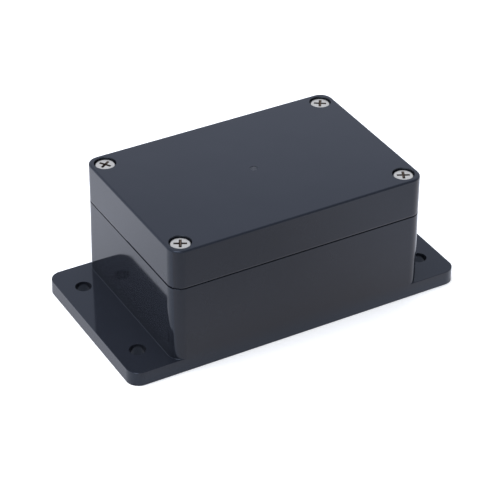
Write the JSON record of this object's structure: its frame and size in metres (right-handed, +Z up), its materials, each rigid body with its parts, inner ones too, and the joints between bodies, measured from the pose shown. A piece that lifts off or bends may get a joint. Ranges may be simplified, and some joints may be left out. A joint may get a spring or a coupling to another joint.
{
  "type": "plastic project box",
  "caption": "Rectangular moulded plastic enclosure with a deep screw-down sealed lid, corner screw posts and a drilled mounting flange at each end.",
  "frame": {"origin": "centre of the flat underside", "axes": "+X along the box from flange to flange, +Y across it, +Z up through the lid"},
  "size_m": [0.133, 0.0686, 0.05],
  "materials": {
    "housing_plastic": "near-black ABS, smooth glossy moulding",
    "seal_rubber": "satin grey silicone",
    "screw_steel": "bright nickel-plated steel",
    "insert_brass": "turned brass"
  },
  "bodies": {
    "base": {"base": "housing_plastic", "brass_insert_front_left": "insert_brass", "brass_insert_front_right": "insert_brass", "brass_insert_back_left": "insert_brass", "brass_insert_back_right": "insert_brass"},
    "lid": {"lid": "housing_plastic", "gasket": "seal_rubber"},
    "screw_front_left": {"lid_screw_front_left": "screw_steel"},
    "screw_front_right": {"lid_screw_front_right": "screw_steel"},
    "screw_back_left": {"lid_screw_back_left": "screw_steel"},
    "screw_back_right": {"lid_screw_back_right": "screw_steel"}
  },
  "joints": [
    {"name": "lid_lift", "type": "slide", "parent": "base", "child": "lid", "axis": [0, 0, 1], "range_m": [0, 0.05]},
    {"name": "screw_front_left_out", "type": "slide", "parent": "lid", "child": "screw_front_left", "axis": [0, 0, 1], "range_m": [0, 0.026]},
    {"name": "screw_front_right_out", "type": "slide", "parent": "lid", "child": "screw_front_right", "axis": [0, 0, 1], "range_m": [0, 0.026]},
    {"name": "screw_back_left_out", "type": "slide", "parent": "lid", "child": "screw_back_left", "axis": [0, 0, 1], "range_m": [0, 0.026]},
    {"name": "screw_back_right_out", "type": "slide", "parent": "lid", "child": "screw_back_right", "axis": [0, 0, 1], "range_m": [0, 0.026]}
  ]
}
